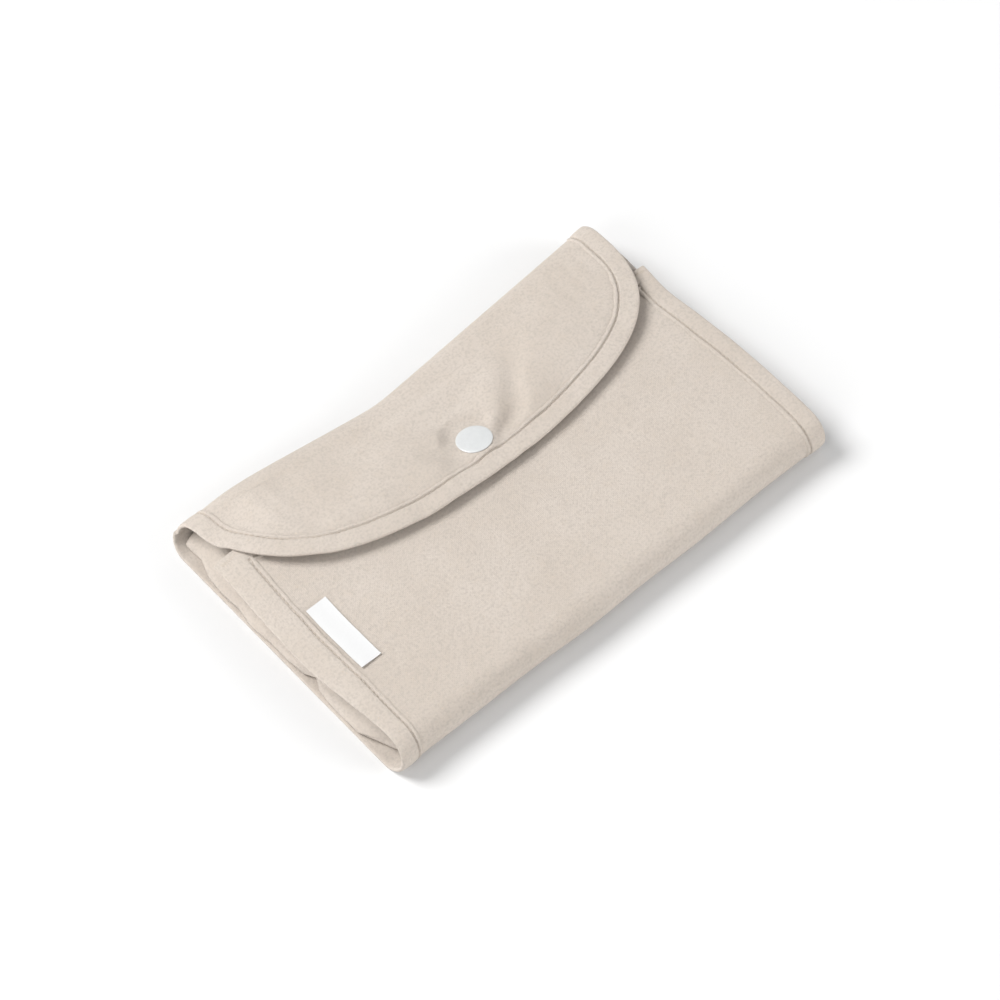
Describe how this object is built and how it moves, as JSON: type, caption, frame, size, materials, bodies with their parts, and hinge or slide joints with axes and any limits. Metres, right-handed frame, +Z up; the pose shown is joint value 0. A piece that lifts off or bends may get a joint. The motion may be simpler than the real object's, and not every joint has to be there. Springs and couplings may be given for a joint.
{
  "type": "travel changing pad",
  "caption": "Soft travel changing pad folded into a flat packet: canvas cover with a rounded flap closed by a press stud, around a mat folded in three both ways.",
  "frame": {"origin": "middle of the packet's underside, on the surface that it lies on", "axes": "+X along the folds, towards the packet's right end; +Y from the near fold to the flap fold; +Z up through the stack"},
  "size_m": [0.22, 0.144, 0.0254],
  "materials": {
    "canvas": "unbleached plain-weave cotton canvas with small seed flecks, matt",
    "edge_band": "the same canvas folded double over the edge and topstitched",
    "binding": "cotton binding tape, matt",
    "mat_cotton": "soft cotton face of the mat, matt",
    "wadding": "thin needled wadding",
    "backing": "coated cotton backing, slight sheen",
    "snap_plastic": "white moulded resin, satin gloss",
    "label_satin": "blank white satin ribbon",
    "thread": "polyester sewing thread, ecru"
  },
  "bodies": {
    "cover_back": {"back_panel": "canvas", "back_left_band": "edge_band", "back_right_band": "edge_band", "near_fold": "canvas", "near_fold_left_band": "edge_band", "near_fold_right_band": "edge_band", "mat_backing": "backing", "mat_wadding": "wadding", "mat_top_cotton": "mat_cotton", "mat_inner_side_binding": "binding", "mat_outer_side_binding": "binding", "mat_inner_end_binding": "binding", "mat_outer_end_binding": "binding"},
    "far_spine": {"far_spine": "canvas", "far_spine_left_band": "edge_band", "far_spine_right_band": "edge_band"},
    "flap": {"flap_panel": "canvas", "flap_edge_band": "edge_band", "flap_snap_cap": "snap_plastic", "flap_snap_socket": "snap_plastic"},
    "front_panel": {"front_panel": "canvas", "front_left_band": "edge_band", "front_right_band": "edge_band", "front_top_band": "edge_band", "front_left_bar_tack": "thread", "front_right_bar_tack": "thread", "front_snap_base": "snap_plastic", "front_snap_stud": "snap_plastic", "label": "label_satin"}
  },
  "joints": [
    {"name": "flap_fold", "type": "hinge", "parent": "far_spine", "child": "flap", "pos_m": [0, 0.06948, 0.02093], "axis": [-1, 0, 0], "range_deg": [0, 88]},
    {"name": "far_spine_fold", "type": "hinge", "parent": "cover_back", "child": "far_spine", "pos_m": [0, 0.06948, 0.00252], "axis": [-1, 0, 0], "range_deg": [0, 88]},
    {"name": "front_panel_lift", "type": "hinge", "parent": "cover_back", "child": "front_panel", "pos_m": [0, -0.06182, 0.01845], "axis": [1, 0, 0], "range_deg": [0, 27]}
  ],
  "couplings": [
    {"joint": "far_spine_fold", "follows": "flap_fold", "ratio": 1},
    {"joint": "front_panel_lift", "follows": "flap_fold", "ratio": 0.3}
  ]
}
